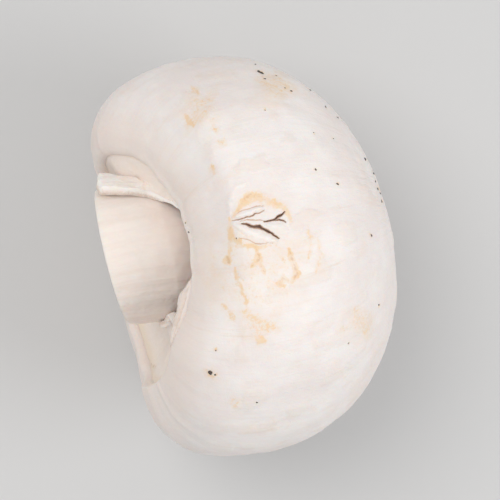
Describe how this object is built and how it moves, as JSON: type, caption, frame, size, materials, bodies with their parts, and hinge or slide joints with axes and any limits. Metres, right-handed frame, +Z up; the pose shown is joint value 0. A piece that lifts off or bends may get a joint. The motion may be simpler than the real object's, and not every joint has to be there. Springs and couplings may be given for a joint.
{
  "type": "button mushroom",
  "caption": "White button mushroom lying on its side: a round closed cap, thin torn veil, gills under it and a short trimmed stem.",
  "frame": {"origin": "middle of the bounding box's underside, level with the flat on the cap that the mushroom rests on", "axes": "+Z up; +X from the stem towards the crown; +Y across the cap"},
  "size_m": [0.037, 0.0526, 0.0495],
  "materials": {
    "cap_flesh": "matte",
    "gill_flesh": "matte",
    "stem_flesh": "matte",
    "veil_skin": "matte"
  },
  "bodies": {
    "root": {"cap": "cap_flesh", "gills": "gill_flesh", "stem": "stem_flesh", "veil": "veil_skin"}
  },
  "joints": []
}
